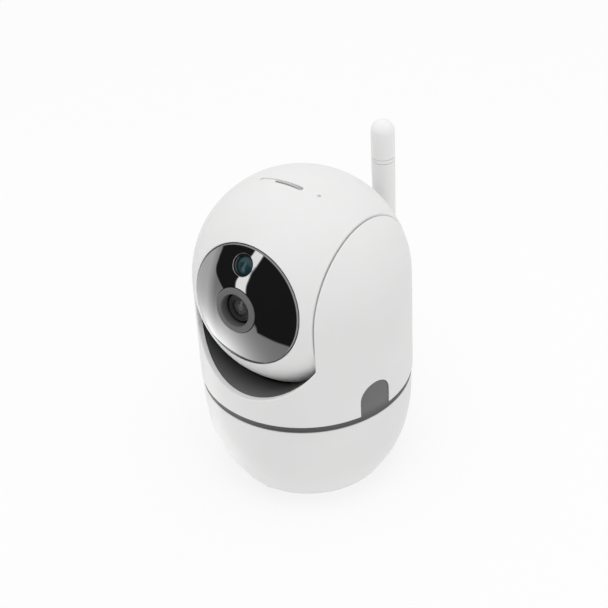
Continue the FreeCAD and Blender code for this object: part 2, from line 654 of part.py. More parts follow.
# ---- head, drawn with its face level ------------------------------------
INNER_R = BODY_R - HEAD_T
FACE_R = 23.7            # opening for the face window
WINDOW_R = 23.45
BACK_SPLIT = 21.0        # plane between the head's front shell and its rear cover
BEZEL_R = 8.75
BEZEL_BORE = 6.3
SENSOR_UP = 17.3         # light sensor above the lens axis
SENSOR_ANGLE = math.degrees(math.asin(SENSOR_UP / BODY_R))
SLOT_ANGLE = 15.7        # card slot, forward of the crown with the face level
SLOT_L, SLOT_W, SLOT_X = 19.9, 2.0, -4.15
PINHOLE = (14.4, 16.9)   # reset pinhole, forward and sideways of the crown
SLIT_R, SLIT_UP = 50.0, 28.1       # arc of the slit below the window, and its centre
COVER_X, COVER_UP = 21.5, -17.0    # screws of the rear cover
COVER_SEAT = 24.5
BOARD_POSTS = [(x, up) for x in (-21.0, 21.0) for up in (-14.0, 14.0)]
CAMERA_POSTS = [(x, up) for x in (-13.5, 13.5) for up in (-11.5, 11.5)]


def tilted(shape):
    """From the head's own frame, face level, to its rest pose."""
    return rot(shape, -REST_TILT, TILT, X)


def save_head(name, *shapes):
    save(name, *[tilted(shape) for shape in shapes])


def head_cyl(radius, y0, y1, x=0.0, up=0.0):
    """Cylinder along the head's view direction, from y0 to y1."""
    return cyl(radius, y1 - y0, tilt_point(x, y0, up), Y)


def face_cyl(radius, x=0.0, up=0.0):
    """Cylinder right through the front of the head."""
    return head_cyl(radius, -60, -20, x, up)


def head_box(x0, y0, up0, x1, y1, up1):
    return box(x0, y0, Z_TILT + up0, x1, y1, Z_TILT + up1)


def side_box(side, inner, y0, up0, y1, up1):
    """Block from |x| = inner into the side wall, on the side of this sign."""
    x0, x1 = sorted((side * inner, side * (HEAD_X - HEAD_T + 0.3)))
    return head_box(x0, y0, up0, x1, y1, up1)


def view_turned(points):
    """Outline of (radius, distance in front of the tilt axis) turned about the view."""
    return move(rot(turned(points), 90, ORIGIN, X), TILT)


def crown(shape, angle=SLOT_ANGLE, side=0.0):
    """From upright over the tilt axis to a place near the crown."""
    return rot(rot(shape, side, TILT, Y), angle, TILT, X)


def at_sensor(shape):
    return rot(shape, -SENSOR_ANGLE, TILT, X)


def sector(start, end):
    """Wedge about the tilt axis. 0 is straight down, and the angle grows towards +Y."""
    points = [tilt_point(-40)]
    for i in range(9):
        angle = math.radians(start + (end - start) * i / 8)
        points.append(tilt_point(-40, 30 * math.sin(angle), -30 * math.cos(angle)))
    return polygon(points).extrude(vec(80, 0, 0))


def stop_slot():
    """Arc slot for the tilt stop peg, in the side wall at -X."""
    depth, half_w, x = 1.75, 1.6, -HEAD_X - 0.2
    end = Part.Face(Part.Wire([Part.makeCircle(half_w, tilt_point(x, 0, -STOP_PEG), X)]))
    end = end.extrude(vec(depth, 0, 0))
    ring = xtube(STOP_PEG + half_w, STOP_PEG - half_w, depth, x)
    first, last = -TILT_DOWN - 0.4, TILT_UP + 0.4
    slot = fuse([ring.common(sector(first, last)),
                 rot(end, first, TILT, X), rot(end, last, TILT, X)])
    return rot(slot, REST_TILT, TILT, X)


outer = soften(ball(BODY_R).common(between_x(HEAD_X)), 0.55,
               rim(math.sqrt(BODY_R ** 2 - HEAD_X ** 2)))
HOLLOW = outer.cut(ball(INNER_R).common(between_x(HEAD_X - HEAD_T)))


def front_cuts():
    cuts = [xcyl(6.0, 12, -HEAD_X - 4)]
    # D socket for the tilt shaft
    socket = xcyl(2.52, 20, HEAD_X - 8).common(box(0, -5, 0, 60, 5, Z_TILT + 1.72))
    cuts.append(rot(socket, REST_TILT, TILT, X))
    for side in (-1, 1):
        for up in (-14.0, 14.0):
            cuts.append(head_cyl(PILOT_R, -2.6, 6, side * 21.0, up))
        cuts.append(head_cyl(PILOT_R, 10.0, 22, side * COVER_X, COVER_UP))
    slot = box(SLOT_X - SLOT_L / 2, -SLOT_W / 2, Z_TILT + 30,
               SLOT_X + SLOT_L / 2, SLOT_W / 2, Z_TILT + 46)
    slot = soften(slot, SLOT_W / 2 - 0.02, lambda edge: edge.BoundBox.ZLength > 14)
    pinhole = cyl(0.7, 12, tilt_point(0, 0, INNER_R - 3))
    return cuts + [crown(slot), crown(pinhole, *PINHOLE), stop_slot()]


def head_shell():
    front = HOLLOW.common(box(-60, -60, 0, 60, BACK_SPLIT - 0.05, 200)).cut(face_cyl(FACE_R))
    # ledge behind the window, open at the bottom for the microphone slit
    ledge = ball(INNER_R + 0.05).cut(ball(INNER_R - 1.6)).common(face_cyl(26.0))
    ledge = ledge.common(between_x(HEAD_X - 1)).cut(face_cyl(21.9))
    gap = head_box(-10.8, -60, -25.0, 10.8, -20, -18).common(face_cyl(FACE_R))
    front = front.fuse(ledge).cut(gap).fuse(xcyl(8.6, 2.0, HEAD_X - HEAD_T - 1.9))
    for side in (-1, 1):
        for up in (-14.0, 14.0):
            front = front.fuse(side_box(side, 18.8, -3.0, up - 2.2, 3.95, up + 2.2))
        front = front.fuse(side_box(side, 21.0, 8.0, -18.0, 20.7, -16.0))
        front = front.fuse(head_cyl(2.7, 8.0, 20.7, side * COVER_X, COVER_UP))
    guide = tube(2.5, 1.25, 2.7, tilt_point(0, 0, INNER_R - 2.6))
    front = front.fuse(crown(guide, *PINHOLE)).removeSplitter()
    front = cut_each(front, front_cuts())
    return soften(front, 0.3, rim(FACE_R, lambda centre: centre.y < -34.5))


def head_back_cover():
    back = HOLLOW.common(box(-60, BACK_SPLIT + 0.05, 0, 60, 60, 200))
    # step that reaches inside the front shell, notched round the screw posts
    step = ball(INNER_R + 0.02).cut(ball(INNER_R - 1.2)).common(
        between_x(HEAD_X - HEAD_T - 0.1, BACK_SPLIT - 2.2, BACK_SPLIT + 4))
    step = step.cut(ball(BODY_R + 1).cut(ball(INNER_R - 0.06)).common(
        box(-60, 0, 0, 60, BACK_SPLIT + 0.05, 200)))
    step = step.cut(head_box(-30, 0, -21.5, -17.5, 40, -12.5))
    back = back.fuse(step.cut(head_box(17.5, 0, -21.5, 30, 40, -12.5)))
    sides = (-COVER_X, COVER_X)
    for x in sides:
        post = head_cyl(3.6, BACK_SPLIT + 0.05, 36, x, COVER_UP)
        back = back.fuse(post.common(ball(BODY_R - 0.3)))
    back = back.removeSplitter()
    for x in sides:
        back = back.cut(head_cyl(2.4, COVER_SEAT, 50, x, COVER_UP))
        back = back.cut(head_cyl(CLEAR_R, 10, 50, x, COVER_UP))
    for k in range(-2, 3):
        up = 10.0 + k * 2.8
        vent = head_box(-8.0, 25, up - 0.6, 8.0, 60, up + 0.6)
        back = back.cut(soften(vent, 0.55, lambda edge: edge.BoundBox.YLength > 34))
    return back


save_head("head_shell", head_shell())
save_head("head_back_cover", head_back_cover())
save_head("head_screws",
          *[screw(tilt_point(x, COVER_SEAT, COVER_UP), -Y, 9.0, 2.0, 1.1)
            for x in (-COVER_X, COVER_X)],
          *[screw(tilt_point(x, 5.45, up), -Y, 5.6, 2.0, 1.1) for x, up in BOARD_POSTS])


# ---- face, lens and sensor ----------------------------------------------
def face_window():
    """Window flush with the ball, with a slit along its lower edge."""
    window = ball(BODY_R - 0.05).cut(ball(BODY_R - 1.85)).common(face_cyl(WINDOW_R))
    window = window.cut(face_cyl(BEZEL_R + 0.3)).cut(at_sensor(face_cyl(4.45)))
    below = face_cyl(80, 0, SLIT_UP).cut(head_cyl(SLIT_R, -61, -19, 0, SLIT_UP))
    window = window.cut(below.common(box(-60, -60, 0, 60, -20, Z_TILT)))
    return bevel(window, 0.4, rim(WINDOW_R, lambda centre: centre.y < -34.6))


def face_carrier():
    pins = [polar(17.6, angle) for angle in (0, 120, 240)]
    carrier = fuse([head_cyl(24.0, -29.6, -28.2), tube(21.4, 20.0, 4.6, tilt_point(0, -33.0), Y)]
                   + [head_cyl(1.6, -30.9, -29.5, pin.x, pin.y) for pin in pins]
                   + [head_cyl(2.0, -28.3, -21.5, x, up) for x, up in CAMERA_POSTS])
    carrier = carrier.cut(head_cyl(7.7, -40, -20))
    carrier = cut_each(carrier, [head_cyl(0.8, -27, -20, x, up) for x, up in CAMERA_POSTS])
    carrier = carrier.cut(head_cyl(0.6, -40, -20, 0, -20.9))
    # lip behind the slit, against the shell
    lip = head_cyl(23.5, -36.0, -29.0).cut(head_cyl(22.75, -37, -28))
    lip = lip.cut(head_cyl(SLIT_R + 0.3, -61, -19, 0, SLIT_UP))
    lip = lip.common(head_box(-10.3, -60, -25.0, 10.3, -20, -18)).common(ball(BODY_R - 0.45))
    return carrier.fuse(lip).removeSplitter()


save_head("face_window", face_window())
save_head("face_carrier", face_carrier())
save_head("microphone", head_box(-2.0, -28.15, -22.4, 2.0, -27.0, -19.4))
save_head("ir_board", head_cyl(19.7, -31.95, -30.92).cut(head_cyl(7.9, -40, -20)))

lamps = []
for angle in (-75, -45, -15, 15, 165, 195, 225, 255):
    x, up, _ = polar(14.0, angle)
    lamps.append(fuse([head_cyl(1.4, -33.4, -31.97, x, up), ball(1.4, tilt_point(x, -33.4, up)),
                       head_cyl(1.8, -32.4, -31.97, x, up)]))
save_head("ir_lamps", *lamps, at_sensor(head_cyl(2.0, -37.7, -36.4)))

# radius, distance in front of the tilt axis
BEZEL = [(BEZEL_BORE, 41.55), (BEZEL_BORE + 0.35, 41.9), (BEZEL_R - 0.5, 41.75),
         (BEZEL_R, 41.3), (BEZEL_R, 38.6), (BEZEL_R + 0.9, 38.6), (BEZEL_R + 0.9, 37.4),
         (6.0, 37.4), (6.0, 38.4)]
BARREL = [(0, 26.4), (5.6, 26.4), (5.6, 38.0), (5.2, 38.6), (4.6, 38.6), (4.35, 38.15),
          (3.85, 38.15), (3.85, 37.7), (3.45, 37.7), (3.45, 35.6), (0, 35.6)]
SENSOR_RING = [(3.46, 40.6), (3.75, 41.0), (4.35, 41.0), (4.35, 37.9), (3.46, 37.9)]


def dome(radius, tip, back):
    """Lens with a ball front, from its tip to its back in front of the tilt axis."""
    return ball(radius, tilt_point(0, radius - tip)).common(head_cyl(3.4, -tip - 1, -back))


save_head("lens_bezel", view_turned(BEZEL))
save_head("lens_barrel", view_turned(BARREL))
save_head("lens_glass", dome(6.2, 38.5, 35.65))

holder = tube(7.4, 5.63, 8.2, tilt_point(0, -32.0), Y)
holder = holder.fuse(head_box(-8.2, -24.0, -8.2, 8.2, -21.45, 8.2)).removeSplitter()
save_head("lens_holder", cut_each(holder, [
    head_cyl(5.63, -40, -24.2), head_cyl(3.4, -30, -20),
    head_box(-7.5, -23.5, -4.3, 7.5, -22.4, 4.3), head_box(-4.2, -22.6, -4.2, 4.2, -21, 4.2)]))
save_head("ir_cut_filter", head_box(-7.2, -23.3, -4.1, 2.0, -22.6, 4.1))
save_head("camera_board", cut_each(head_box(-16.5, -21.4, -14.5, 16.5, -20.2, 14.5),
                                   [head_cyl(1.1, -30, -10, x, up) for x, up in CAMERA_POSTS]))
save_head("image_sensor", head_box(-3.5, -21.95, -3.5, 3.5, -21.42, 3.5))

# light sensor in its bore, square to the ball's surface
save_head("sensor_ring", at_sensor(view_turned(SENSOR_RING)))
save_head("sensor_lens", at_sensor(dome(6.5, 41.25, 38.6)))

# ---- main board, card socket and reset ----------------------------------
save_head("main_board", cut_each(head_box(-22.6, 4.0, -18, 22.6, 5.4, 20),
                                 [head_cyl(CLEAR_R, -10, 20, x, up) for x, up in BOARD_POSTS]))
# x0, y0, up0, x1, y1, up1 of the blocks on both faces of the main board
MAIN_BLOCKS = [(-8, 2.3, -6, 6, 3.95, 8), (-17, 2.7, -9, -10, 3.95, -1),
               (8, 2.1, -10, 16, 3.95, 6), (-7, 5.45, 11, 7, 8.2, 16),
               (-16, 5.45, -8, -6, 7.0, 2)]
save_head("main_board_parts", *[head_box(*block) for block in MAIN_BLOCKS])


def card_socket():
    """Socket with a ramp that leads from the slot to the card, and a row of notches."""
    socket = head_box(-14.6, -2.3, 34.6, 6.8, 2.3, 39.9).common(ball(INNER_R - 0.1))
    socket = socket.fuse(head_box(-7.4, -1.9, 22.6, 5.4, 1.3, 35.0)).removeSplitter()
    ramp = [(-15, 39.2), (-7.0, 37.6), (6.2, 36.0), (6.2, 44), (-15, 44)]
    ramp = polygon([tilt_point(x, -SLOT_W / 2, up) for x, up in ramp])
    socket = socket.cut(ramp.extrude(vec(0, SLOT_W, 0)))
    socket = socket.cut(head_box(-6.75, -0.65, 23.8, 4.75, 0.65, 50))
    for k in range(6):
        x = -1.0 + 1.1 * k
        socket = socket.cut(head_box(x, 0.5, 35.2, x + 0.5, SLOT_W / 2 + 0.5, 44))
    return socket


def memory_card():
    card = head_box(-6.5, -0.5, 24.5, 4.5, 0.5, 39.5).cut(head_box(3.0, -1, 20, 5, 1, 31.0))
    return soften(card, 0.5, lambda edge: (
        along_y(1.0)(edge) and edge.BoundBox.ZLength < 0.01 and edge.BoundBox.XLength < 0.01))


save_head("card_socket", crown(card_socket()))
save_head("memory_card", crown(memory_card()))
key_foot = tilt_point(0, 0, 36.3)
save_head("reset_key", crown(fuse([cyl(1.2, 3.2, key_foot), cyl(1.7, 0.85, key_foot)]), *PINHOLE))
save_head("reset_switch", crown(head_box(-1.8, -1.5, 33.9, 1.8, 1.5, 35.7), *PINHOLE))

# ---- tilt axis: trunnion at -X, motor shaft at +X -----------------------
trunnion = fuse([xtube(5.95, 4.3, 8.0, -31.7), xtube(9.0, 4.3, 1.5, -25.35)])
save("trunnion", trunnion.cut(xtube(8.0, 5.5, 0.75, -31.1)))
save("trunnion_clip", xtube(8.0, 5.55, 0.65, -31.05).cut(head_box(-40, -2.2, 0, -20, 2.2, 12)))
shaft = xcyl(2.5, 15.5, HEAD_X - 3.8).cut(head_box(0, -5, 1.7, HEAD_X + 0.3, 5, 5))
save("tilt_shaft", shaft.common(head_box(0, -9, -9, 34.0, 9, 9)))

# x, y, height from the tilt axis
HEAD_CABLE = [(-32.0, 0, 0), (-26.0, 0, 0), (-20.5, -0.9, -1.0), (-16.2, -1.9, -3.4),
              (-13.7, -0.6, -5.0), (-13.5, 2.35, -5.0)]
save_head("head_cable", pipe([tilt_point(*point) for point in HEAD_CABLE], 0.75))
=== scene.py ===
"""A small camera with a ball-shaped head on a stand, dressed from its CAD pieces.

Metres, +Z up. The feet stand on z = FLOOR_Z. At rest the head looks along -Y and leans
10 degrees upwards; +X is to the right when the face is seen from the front.
Names ending in _MM, turned profiles and the card slot are in millimetres from the head centre.
"""
import bpy
import bmesh
import json
import math
from mathutils import Vector, Matrix


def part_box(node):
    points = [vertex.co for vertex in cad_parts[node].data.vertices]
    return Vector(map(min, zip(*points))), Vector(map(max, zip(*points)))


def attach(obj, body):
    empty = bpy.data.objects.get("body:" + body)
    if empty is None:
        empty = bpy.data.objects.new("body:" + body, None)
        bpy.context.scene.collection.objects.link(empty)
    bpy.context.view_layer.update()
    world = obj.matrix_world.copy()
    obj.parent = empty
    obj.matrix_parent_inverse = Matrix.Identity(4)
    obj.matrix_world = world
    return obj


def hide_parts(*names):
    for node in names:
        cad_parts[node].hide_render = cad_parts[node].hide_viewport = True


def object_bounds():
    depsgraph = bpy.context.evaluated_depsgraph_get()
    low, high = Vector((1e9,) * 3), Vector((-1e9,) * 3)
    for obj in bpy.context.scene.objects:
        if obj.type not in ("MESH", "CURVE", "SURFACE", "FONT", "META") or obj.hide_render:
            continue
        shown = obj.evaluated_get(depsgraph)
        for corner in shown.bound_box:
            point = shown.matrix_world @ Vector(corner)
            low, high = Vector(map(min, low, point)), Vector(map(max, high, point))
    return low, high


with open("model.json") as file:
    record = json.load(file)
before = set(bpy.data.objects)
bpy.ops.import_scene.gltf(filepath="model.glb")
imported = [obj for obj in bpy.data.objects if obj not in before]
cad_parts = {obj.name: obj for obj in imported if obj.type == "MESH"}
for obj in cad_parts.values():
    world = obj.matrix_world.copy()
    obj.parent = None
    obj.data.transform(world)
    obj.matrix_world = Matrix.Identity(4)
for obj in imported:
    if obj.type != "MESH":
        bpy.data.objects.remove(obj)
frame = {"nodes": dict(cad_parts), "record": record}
cad_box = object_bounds()
record = frame["record"]
joints = {joint["name"]: joint for joint in record["behaviour"]["joints"]}
scene = bpy.context.scene
scene.view_settings.view_transform = 'Standard'
scene.view_settings.look = 'None'

FLOOR_Z = cad_box[0].z
HEAD_CENTRE = Vector((0, 0, FLOOR_Z + 0.08693))
HEAD_R_MM = 42.0
LEAN = math.radians(10.0)
FORWARD = Vector((0, -math.cos(LEAN), math.sin(LEAN)))     # the way the face looks
UPWARD = Vector((0, math.sin(LEAN), math.cos(LEAN)))       # up along the face
SIDE = Vector((1, 0, 0))


# ---- shader nodes -------------------------------------------------------
def set_inputs(tree, node, values):
    """Link each value that is a socket and store the others."""
    for key, value in values.items():
        if isinstance(value, bpy.types.NodeSocket):
            tree.links.new(value, node.inputs[key])
        else:
            node.inputs[key].default_value = value


def add_node(tree, kind, inputs=None, **settings):
    node = tree.nodes.new("ShaderNode" + kind)
    for key, value in settings.items():
        setattr(node, key, value)
    set_inputs(tree, node, inputs or {})
    return node


def ramp(tree, factor, to_min, to_max, from_min=0.3, from_max=0.7):
    return add_node(tree, "MapRange", {
        "From Min": from_min, "From Max": from_max,
        "To Min": to_min, "To Max": to_max, "Value": factor}).outputs["Result"]


def noise(tree, scale, detail, roughness=0.5):
    coords = tree.nodes.get("tc") or add_node(tree, "TexCoord", name="tc")
    return add_node(tree, "TexNoise", {
        "Scale": scale, "Detail": detail, "Roughness": roughness,
        "Vector": coords.outputs["Object"]}).outputs["Fac"]


def paint_crevice_shade(tree, colour, distance, darkest):
    """Paint shade into a colour where the surface sits deep beside its neighbours."""
    occlusion = add_node(tree, "AmbientOcclusion", {"Distance": distance}, samples=8)
    shade = ramp(tree, occlusion.outputs["AO"], darkest, 1.0, from_min=0.15, from_max=0.85)
    grey = add_node(tree, "CombineColor", {channel: shade for channel in range(3)})
    return add_node(tree, "Mix", {"Factor": 1.0, "A": colour, "B": grey.outputs["Color"]},
                    data_type='RGBA', blend_type='MULTIPLY').outputs["Result"]


# ---- materials ----------------------------------------------------------
DRIFT_SCALE = 45.0                # noise scale of the broad colour drift
PATCH_SCALE = DRIFT_SCALE * 4.3   # noise scale of the roughness patches


def make_material(name, colour, rough, drift, patch, grain, grain_mm,
                  metal=0.0, ior=1.46, sss=0.0, shade=0.0, deep=0.0):
    """Moulded or turned finish: broad colour drift, roughness patches and a fine grain, and, when
    shade is given, painted crevice shade.
    """
    material = bpy.data.materials.new(name)
    material.use_nodes = True
    tree = material.node_tree
    principled = tree.nodes["Principled BSDF"]
    tint = add_node(tree, "HueSaturation", {
        "Color": (*colour, 1),
        "Value": ramp(tree, noise(tree, DRIFT_SCALE, detail=4), 1 - drift, 1 + drift)})
    surface = tint.outputs["Color"]
    # painted shade: ambient occlusion darkens the colour in crevices and recesses
    if shade:
        surface = paint_crevice_shade(tree, surface, shade, deep)
    patches = noise(tree, PATCH_SCALE, detail=5)
    set_inputs(tree, principled, {
        "Base Color": surface,
        "Roughness": ramp(tree, patches, max(0.0, rough - patch), rough + patch),
        "Metallic": metal,
        "IOR": ior,
        "Coat Roughness": 0.05})
    if sss:
        set_inputs(tree, principled, {
            "Subsurface Weight": sss,
            "Subsurface Radius": (0.0012, 0.0011, 0.001),
            "Subsurface Scale": 0.6})
    bump = add_node(tree, "Bump", {
        "Strength": 0.25,
        "Distance": grain_mm / 1000.0,
        "Height": noise(tree, grain, detail=3, roughness=0.6)})
    set_inputs(tree, principled, {"Normal": bump.outputs["Normal"]})
    return material


# name, colour, roughness, colour drift (+-), roughness drift (+-), grain scale, grain depth (mm),
# others: metal, refractive index, subsurface weight, reach of the painted crevice shade (m)
# and how dark that painted shade gets (deep)
FINISHES = [
    ("white_shell", (0.765, 0.765, 0.762), 0.42, 0.01, 0.05, 2600, 0.01, dict(sss=0.45, ior=1.38)),
    ("charcoal_plastic", (0.185, 0.185, 0.188), 0.58, 0.06, 0.06, 1800, 0.03,
     dict(ior=1.35, shade=0.014, deep=0.07)),
    ("face_gloss", (0.004, 0.004, 0.0045), 0.02, 0.1, 0.006, 300, 0.0003, dict(ior=3.2)),
    ("bezel_grey", (0.118, 0.118, 0.120), 0.38, 0.05, 0.05, 3000, 0.008,
     dict(ior=1.4, shade=0.0045, deep=0.06)),
    ("lens_glass", (0.05, 0.05, 0.056), 0.12, 0.1, 0.03, 300, 0.0003, dict(ior=1.45)),
    ("sensor_glass", (0.005, 0.032, 0.040), 0.22, 0.12, 0.02, 500, 0.0006, dict(ior=1.5)),
    ("black_plastic", (0.022, 0.022, 0.022), 0.45, 0.08, 0.08, 2500, 0.012, {}),
    ("rubber", (0.30, 0.30, 0.30), 0.75, 0.08, 0.08, 1800, 0.03, {}),
    ("brass", (0.80, 0.60, 0.30), 0.28, 0.08, 0.10, 2500, 0.01, dict(metal=1.0)),
    ("steel", (0.58, 0.58, 0.60), 0.30, 0.07, 0.10, 2500, 0.01, dict(metal=1.0)),
    ("board_green", (0.01, 0.12, 0.045), 0.35, 0.15, 0.05, 900, 0.02, {}),
    ("chip_black", (0.02, 0.02, 0.021), 0.5, 0.1, 0.08, 2500, 0.01, {}),
    ("acetal", (0.75, 0.75, 0.71), 0.4, 0.03, 0.05, 1500, 0.01, dict(sss=0.1)),
    ("cable_sheath", (0.03, 0.03, 0.03), 0.55, 0.1, 0.08, 1500, 0.02, {}),
    ("copper", (0.72, 0.38, 0.22), 0.3, 0.08, 0.1, 2000, 0.01, dict(metal=1.0)),
    ("turntable_band", (0.13, 0.13, 0.133), 0.5, 0.05, 0.06, 1800, 0.025,
     dict(ior=1.42, shade=0.0035, deep=0.25)),
    # The two antenna finishes below are the white shell made paler: painted light that lifts the
    # antenna out of the shade the head casts on it.
    ("antenna_white_painted_light", (0.83, 0.83, 0.825), 0.46, 0.01, 0.05, 2600, 0.01, dict(sss=0.3, ior=1.33)),
    ("antenna_cap_white_painted_light", (0.83, 0.83, 0.825), 0.46, 0.01, 0.05, 2600, 0.01,
     dict(sss=0.3, ior=1.33)),
    ("sensor_ring", (0.006, 0.006, 0.007), 0.12, 0.1, 0.04, 900, 0.002, dict(ior=1.7)),
    ("face_carrier", (0.006, 0.006, 0.006), 0.5, 0.1, 0.08, 2000, 0.01, dict(ior=1.3)),
    ("lens_barrel", (0.028, 0.028, 0.029), 0.34, 0.08, 0.08, 2500, 0.008,
     dict(shade=0.004, deep=0.2)),
    ("rubber_feet", (0.60, 0.60, 0.60), 0.7, 0.05, 0.08, 1800, 0.03, {}),
    ("base_plate", (0.70, 0.70, 0.695), 0.5, 0.02, 0.05, 1500, 0.03, {}),
    ("lens_front", (0.060, 0.060, 0.066), 0.16, 0.12, 0.04, 900, 0.001, dict(ior=1.55)),
    # a real chamfer, coloured light grey on the black bore: a painted highlight on its edge
    ("sensor_rim_highlight", (0.55, 0.55, 0.56), 0.25, 0.05, 0.06, 1500, 0.003, dict(metal=0.6)),
    ("key_white", (0.60, 0.60, 0.60), 0.45, 0.02, 0.05, 2600, 0.01, dict(sss=0.3, ior=1.38)),
]
materials = {name: make_material(name, *values, **others) for name, *values, others in FINISHES}

# CAD pieces with a material of their own; the rest take the one named by their slot
OWN_MATERIAL = {
    # the antenna pieces take the paler white: painted light against the head's shade
    "antenna_sleeve": "antenna_white_painted_light",
    "antenna_cap": "antenna_cap_white_painted_light",
    "turntable": "turntable_band",
    "sensor_ring": "sensor_ring",
    "face_carrier": "face_carrier",
    "lens_barrel": "lens_barrel",
    "rubber_feet": "rubber_feet",
    "base_plate": "base_plate",
}


def tint_turntable_by_height():
    """Replace the band's plain colour: dark below, rising softly where the side tabs begin."""
    tree = materials["turntable_band"].node_tree
    tint = next(n for n in tree.nodes if n.bl_idname == "ShaderNodeHueSaturation")
    place = add_node(tree, "SeparateXYZ", {0: tree.nodes["tc"].outputs["Object"]})
    rise = add_node(tree, "MapRange", {
        "From Min": FLOOR_Z + 0.0425,
        "From Max": FLOOR_Z + 0.0475,
        "Value": place.outputs["Z"]}, interpolation_type='SMOOTHSTEP')
    blend = add_node(tree, "Mix", {
        "A": (0.072, 0.072, 0.074, 1),
        "B": (0.135, 0.135, 0.138, 1),
        "Factor": rise.outputs["Result"]}, data_type='RGBA')
    set_inputs(tree, tint, {"Color": blend.outputs["Result"]})


def smooth(piece, degrees):
    mesh = piece.data
    mesh.polygons.foreach_set("use_smooth", [True] * len(mesh.polygons))
    mesh.update()
    bpy.context.view_layer.objects.active = piece
    for other in bpy.context.selected_objects:
        other.select_set(False)
    piece.select_set(True)
    bpy.ops.object.shade_smooth_by_angle(angle=math.radians(degrees))
    piece.select_set(False)


tint_turntable_by_height()
for subpart in record["subparts"]:
    piece = frame["nodes"][subpart["node"]]
    material_name = OWN_MATERIAL.get(subpart["node"], subpart["material_slot"])
    piece.data.materials.clear()
    piece.data.materials.append(materials[material_name])
    smooth(piece, 32)


# ---- finer pieces -------------------------------------------------------
def link_new(name, data):
    made = bpy.data.objects.new(name, data)
    scene.collection.objects.link(made)
    return made


def finish_piece(name, bm, body, material):
    """Turn a bmesh into an object that rides on a body of the product."""
    bmesh.ops.recalc_face_normals(bm, faces=bm.faces)
    mesh = bpy.data.meshes.new(name)
    bm.to_mesh(mesh)
    bm.free()
    made = link_new(name, mesh)
    mesh.materials.append(materials[material])
    smooth(made, 40)
    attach(made, body)
    return made


def lathe(name, profile, axis, body, material, segments=96):
    """Piece turned about an axis through the head centre, from (radius, distance) in mm."""
    axis = axis.normalized()
    across = SIDE if abs(axis.dot(SIDE)) < 0.9 else UPWARD
    second = axis.cross(across).normalized()
    first = second.cross(axis).normalized()
    bm = bmesh.new()
    rings = []
    for radius, distance in profile:
        centre = HEAD_CENTRE + axis * (distance / 1000.0)
        if radius < 1e-6:
            rings.append([bm.verts.new(centre)])
            continue
        ring = []
        for k in range(segments):
            turn = 2 * math.pi * k / segments
            spoke = first * math.cos(turn) + second * math.sin(turn)
            ring.append(bm.verts.new(centre + spoke * (radius / 1000.0)))
        rings.append(ring)
    for p, q in zip(rings, rings[1:]):
        for k in range(segments):
            j = (k + 1) % segments
            if len(p) == 1:
                bm.faces.new((p[0], q[k], q[j]))
            elif len(q) == 1:
                bm.faces.new((p[k], p[j], q[0]))
            else:
                bm.faces.new((p[k], p[j], q[j], q[k]))
    return finish_piece(name, bm, body, material)


def build_lens_front():
    """Domed front element with two fine moulded rings and one where it meets the barrel."""
    edge_radius = 3.40
    dome_radius = 6.2
    apex = 38.5
    lowered = 0.10
    back = 35.70
    steps = 68
    ridges = ((1.45, 0.16, 0.10), (2.55, 0.17, 0.12), (3.28, 0.12, 0.08))  # radius, reach, height
    profile = []
    for i in range(steps + 1):
        radius = edge_radius * i / steps
        distance = apex - dome_radius + math.sqrt(dome_radius ** 2 - radius * radius)
        for centre, reach, height in ridges:
            if abs(radius - centre) < reach:
                distance += height * 0.5 * (1 + math.cos(math.pi * (radius - centre) / reach))
        profile.append((radius, distance - lowered))
    profile += [(edge_radius, back), (0.0, back)]
    lens = lathe("lens_front", profile, FORWARD, "head", "lens_front")
    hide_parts("lens_glass")


def build_sensor_rim():
    """Thin chamfer round the light sensor's bore, above the lens, coloured light grey as a painted
    highlight on the bore's edge.
    """
    rise = math.asin(17.3 / HEAD_R_MM)
    axis = FORWARD * math.cos(rise) + UPWARD * math.sin(rise)
    profile = [(4.28, 41.30), (4.30, 41.46), (4.37, 41.53),
               (4.42, 41.46), (4.42, 41.30), (4.28, 41.30)]
    lathe("sensor_rim_highlight", profile, axis, "head", "sensor_rim_highlight")


def build_reset_key():
    """Stepped reset key, nearly flush in its hole."""
    axis = -Vector(joints["reset_press"]["axis"])
    profile = [(0.0, 41.86), (0.42, 41.85), (0.56, 41.80), (0.62, 41.72), (0.62, 39.5),
               (1.2, 39.45), (1.2, 37.2), (1.7, 37.15), (1.7, 36.35), (0.0, 36.35)]
    key = lathe("key_tip", profile, axis, "reset", "key_white", segments=64)
    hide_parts("reset_key")


build_lens_front()
build_sensor_rim()
build_reset_key()

# Card slot: x runs along it (+X), y across it and z outwards along the card's travel
SLOT_X0, SLOT_X1 = -14.02, 5.72
SLOT_HALF = 0.92                  # half width, and the radius of the rounded ends
SLOT_THICK = 1.3
CELLS_X, CELLS_Y = 120, 16
CARD_END_GAP = 0.2                # clear of each end of the card
CARD_SIDE_GAP = 0.55              # clear on each side of the card's middle plane
SLOT_OUT = Vector(joints["card_slide"]["axis"]).normalized()
SLOT_ACROSS = SLOT_OUT.cross(SIDE).normalized()


def slot_depth(x):
    """Depth of the floor below the ball: a gentle fall, a steeper one, then fine ripples."""
    depth = 0.30 + 0.25 * max(0.0, (x + 14.0) / 19.7) + 0.9 * max(0.0, (x + 1.0) / 6.7) ** 1.5
    ripple_start, ripple_pitch, ripple_height = -1.5, 1.1, 0.12
    if x > ripple_start:
        phase = 2 * math.pi * (x - ripple_start) / ripple_pitch
        depth += ripple_height * (1 + math.cos(phase)) * 0.5
    return depth


def slot_xy(i, k):
    return (SLOT_X0 + (SLOT_X1 - SLOT_X0) * i / CELLS_X,
            -SLOT_HALF + 2 * SLOT_HALF * k / CELLS_Y)


